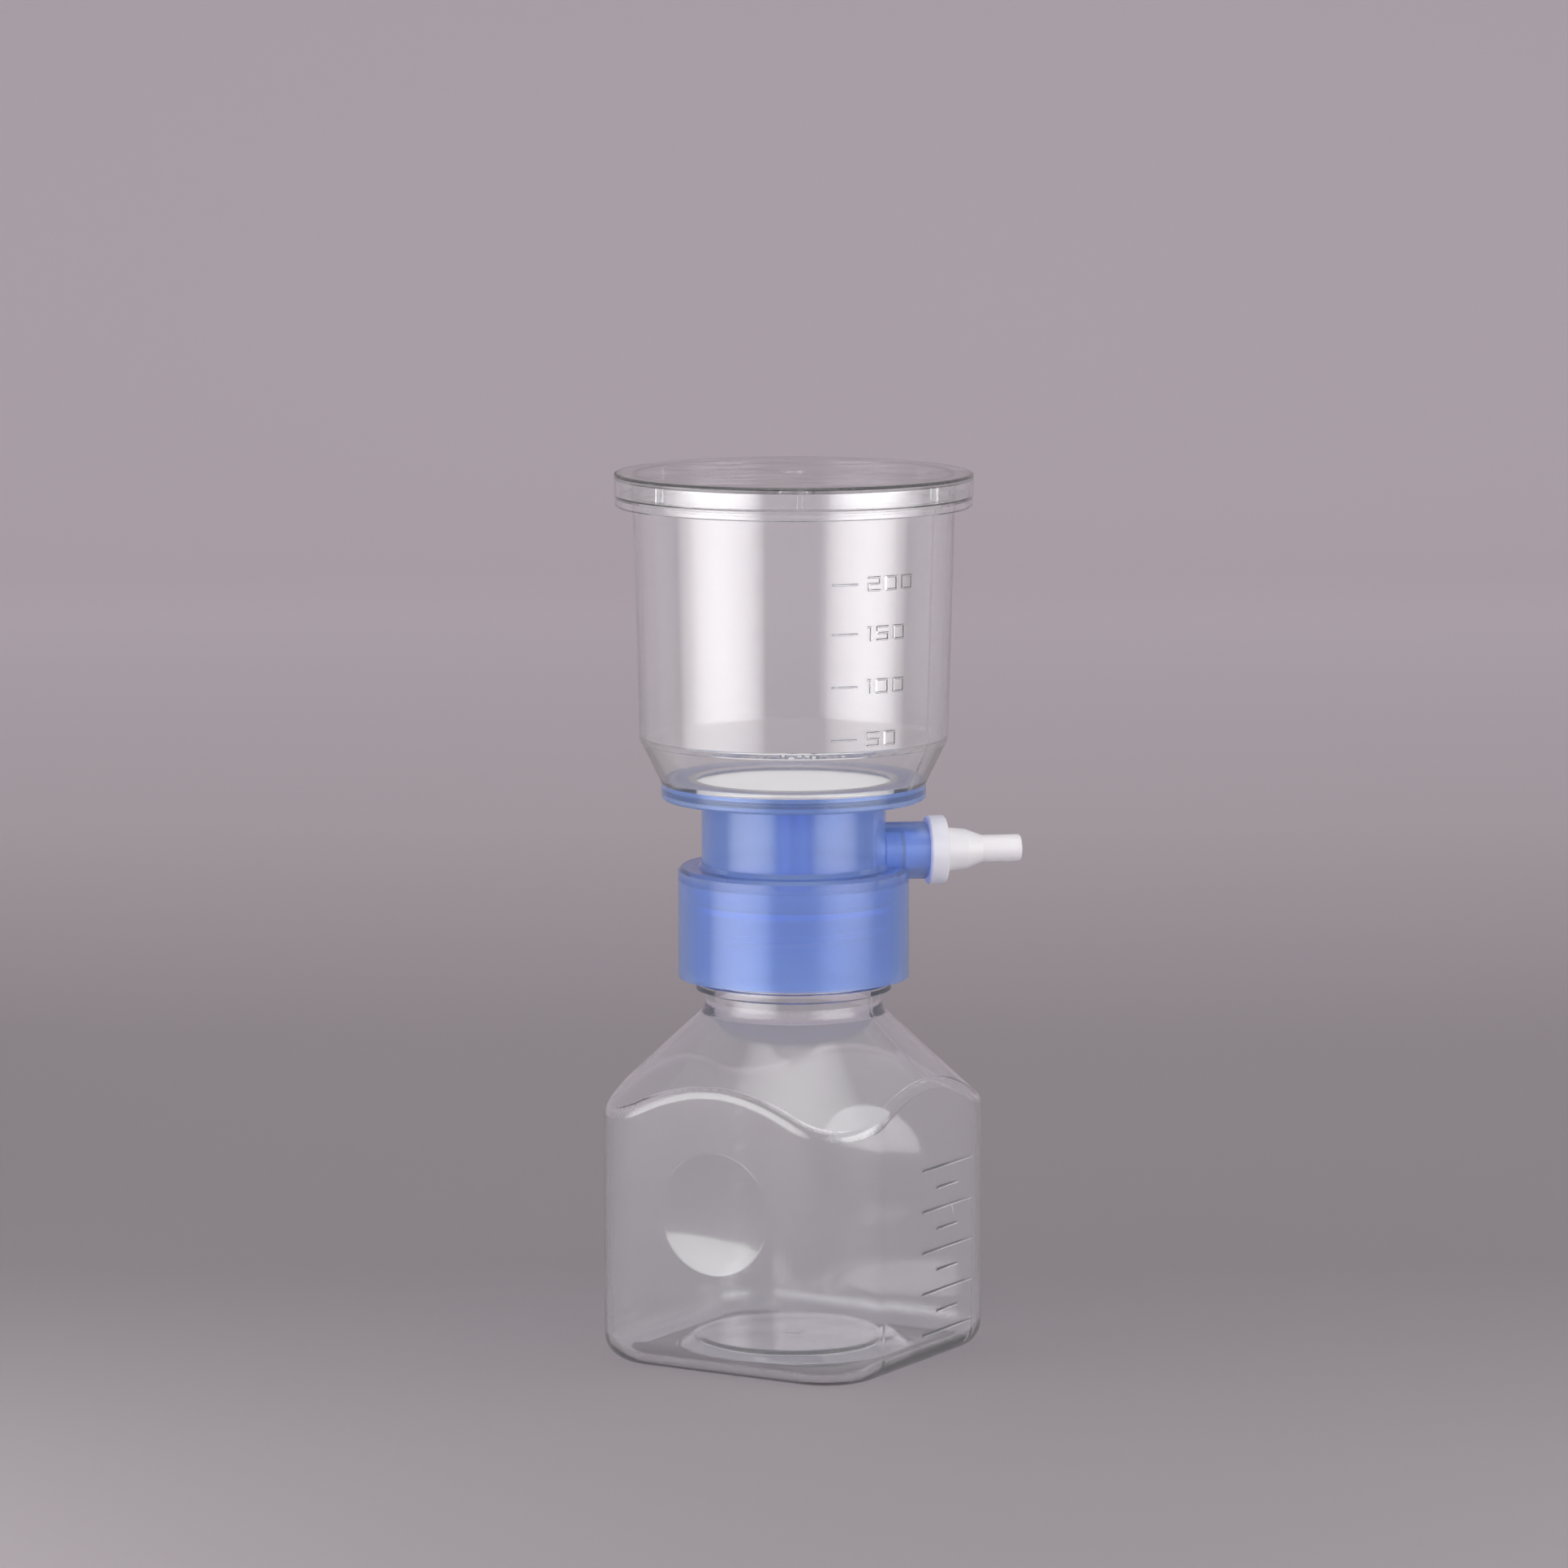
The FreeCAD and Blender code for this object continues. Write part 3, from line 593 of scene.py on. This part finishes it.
natural_plastic, wire = new_material("natural_plastic")
place = wire.node("TexCoord", {}, {}, "Object")
bloom = wire.node("TexNoise", {}, {"Vector": place, "Scale": 220.0, "Detail": 3.0})
satin = wire.node("TexNoise", {}, {"Vector": place, "Scale": 1800.0, "Detail": 2.0})
bump = wire.node("Bump", {}, {"Height": bloom + 0.3 * satin, "Strength": 0.12, "Distance": 0.0002})
plastic = wire.node(
    "BsdfPrincipled",
    {},
    {
        "Base Color": MILKY,
        "Roughness": 0.30 + 0.15 * bloom,
        "IOR": 1.49,
        "Transmission Weight": 0.28,
        "Normal": bump,
    },
)
let_light_through(wire, plastic, (0.6, 0.6, 0.6))
dress(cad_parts["hose_nozzle"], natural_plastic)


# Filter cup. Clear polystyrene, injection moulded, with raised level marks and numbers on its front right,
# and welded on the dish. The numbers are drawn on a grid of small cells, bent round the wall.

CELL_WIDE = 0.00059
CELL_TALL = 0.00050
LABEL_START = math.radians(-45.7)
FOOT_RADIUS = 0.0366
FOOT_HEIGHT = 0.1480
MOUTH_RADIUS = 0.0383
MOUTH_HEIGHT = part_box("filter_cup")[1][2]
CUP_FLARE = (MOUTH_RADIUS - FOOT_RADIUS) / (MOUTH_HEIGHT - FOOT_HEIGHT)
LABEL_FLANK = 0.00016
LABEL_RAISED = 0.00028
LABEL_ROOT = 0.0003
LABEL_CORNER = 0.00022

LABELS = {
    0.1882: (
        "...............######..######..######",
        "....................#..#....#..#....#",
        "....................#..#....#..#....#",
        "###########....######..#....#..#....#",
        "...............#.......#....#..#....#",
        "...............#.......#....#..#....#",
        "...............######..######..######",
    ),
    0.1766: (
        "...............##..######..######",
        "................#..#.......#....#",
        "................#..#.......#....#",
        "###########.....#..######..#....#",
        "................#.......#..#....#",
        "................#.......#..#....#",
        "................#..######..######",
    ),
    0.1642: (
        "...............##..######..######",
        "................#..#....#..#....#",
        "................#..#....#..#....#",
        "###########.....#..#....#..#....#",
        "................#..#....#..#....#",
        "................#..#....#..#....#",
        "................#..######..######",
    ),
    0.1518: (
        "...............######..######",
        "...............#.......#....#",
        "...............#.......#....#",
        "###########....######..#....#",
        "....................#..#....#",
        "....................#..#....#",
        "...............######..######",
    ),
}

cup = merged_copy("filter_cup", "graduated_cup")
for height, rows in LABELS.items():
    columns = len(rows[0])
    wide = columns * CELL_WIDE
    tall = len(rows) * CELL_TALL
    bpy.ops.object.select_all(action="DESELECT")
    bpy.ops.mesh.primitive_grid_add(x_subdivisions=columns, y_subdivisions=len(rows), size=1)
    label = bpy.context.object
    bpy.ops.object.mode_set(mode="EDIT")
    bpy.ops.transform.resize(value=(wide, tall, 1))
    bpy.ops.transform.translate(value=(wide / 2, -tall / 2, 0))
    pick(
        label,
        faces=lambda face: rows[int(-face.center.y / CELL_TALL)][int(face.center.x / CELL_WIDE)] == ".",
    )
    bpy.ops.mesh.delete(type="FACE")
    bpy.ops.object.mode_set(mode="OBJECT")
    faces_round = [0] * len(label.data.vertices)
    for face in label.data.polygons:
        for n in face.vertices:
            faces_round[n] += 1
    pick(label, vertices=lambda vertex: faces_round[vertex.index] == 1)
    bpy.ops.mesh.bevel(offset=LABEL_CORNER, segments=3, affect="VERTICES")
    bpy.ops.mesh.select_all(action="SELECT")
    bpy.ops.mesh.extrude_region_move(TRANSFORM_OT_translate={"value": (0, 0, LABEL_ROOT)})
    bpy.ops.mesh.inset(thickness=LABEL_FLANK, depth=LABEL_RAISED)
    bpy.ops.mesh.select_all(action="SELECT")
    bpy.ops.mesh.normals_make_consistent(inside=False)
    bpy.ops.object.mode_set(mode="OBJECT")
    for vertex in label.data.vertices:
        along, up, out = vertex.co
        rise = height + tall / 2 + up
        wall = FOOT_RADIUS + CUP_FLARE * (rise - FOOT_HEIGHT)
        angle = LABEL_START + along / wall
        radius = wall - LABEL_ROOT + out
        vertex.co = (radius * math.cos(angle), radius * math.sin(angle), rise)
    fuse(cup, label)
smooth_like(cup, "filter_cup")

CLEAR_TINT = (0.980, 0.980, 0.985, 1)

clear_plastic, wire = new_material("clear_plastic")
place = wire.node("TexCoord", {}, {}, "Object")
flow = wire.node("Mapping", {}, {"Vector": place, "Scale": (1.0, 1.0, 0.2)})
waves = wire.node("TexNoise", {}, {"Vector": flow, "Scale": 55.0, "Detail": 2.0})
smudge = wire.node("TexNoise", {}, {"Vector": place, "Scale": 40.0, "Detail": 4.0})
bump = wire.node("Bump", {}, {"Height": waves, "Strength": 0.12, "Distance": 0.0006})
plastic = wire.node(
    "BsdfPrincipled",
    {},
    {
        "Base Color": CLEAR_TINT,
        "Roughness": 0.03 + 0.05 * smudge,
        "IOR": 1.58,
        "Transmission Weight": 0.97,
        "Normal": bump,
    },
)
let_light_through(wire, plastic, (0.93, 0.93, 0.94))
dress(cup, clear_plastic)
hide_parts("filter_cup")
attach(cup, "filter_unit")


# Lid. The same clear polystyrene, laid loose on the cup, with small tabs inside the cup's mouth. A round dish
# in its middle marks where the mould was filled.

LID_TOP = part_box("lid")[1][2]
LID_DISH_RADIUS = 0.0032
LID_DISH_DEPTH = 0.0004
LID_STUB_RADIUS = 0.0008
LID_TAB_OUTER = 0.0370
LID_TAB_BEVEL = 0.0002


def is_tab_edge(edge):
    """True for an upright edge of the lid's small tabs."""
    ends = [lid.data.vertices[n].co for n in edge.vertices]
    upright = (ends[0] - ends[1]).xy.length < 1e-5
    return upright and ends[0].xy.length < LID_TAB_OUTER and ends[0].z < LID_TOP and ends[1].z < LID_TOP


lid = merged_copy("lid", "clear_lid")
pick(lid, edges=is_tab_edge)
bpy.ops.mesh.bevel(offset=LID_TAB_BEVEL, segments=2)
bpy.ops.object.mode_set(mode="OBJECT")
bpy.ops.object.select_all(action="DESELECT")
bpy.ops.mesh.primitive_cylinder_add(
    vertices=64, radius=LID_DISH_RADIUS, depth=2 * LID_DISH_DEPTH, location=(0, 0, LID_TOP)
)
hollow = bpy.context.object
pick(hollow, faces=lambda face: face.normal.z < -0.5)
bpy.ops.mesh.inset(thickness=LID_DISH_RADIUS - LID_STUB_RADIUS)
bpy.ops.mesh.extrude_region_move(TRANSFORM_OT_translate={"value": (0, 0, LID_DISH_DEPTH / 2)})
bpy.ops.object.mode_set(mode="OBJECT")
fuse(lid, hollow, "DIFFERENCE")
smooth_like(lid, "lid")
dress(lid, clear_plastic)
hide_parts("lid")
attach(lid, "cover")
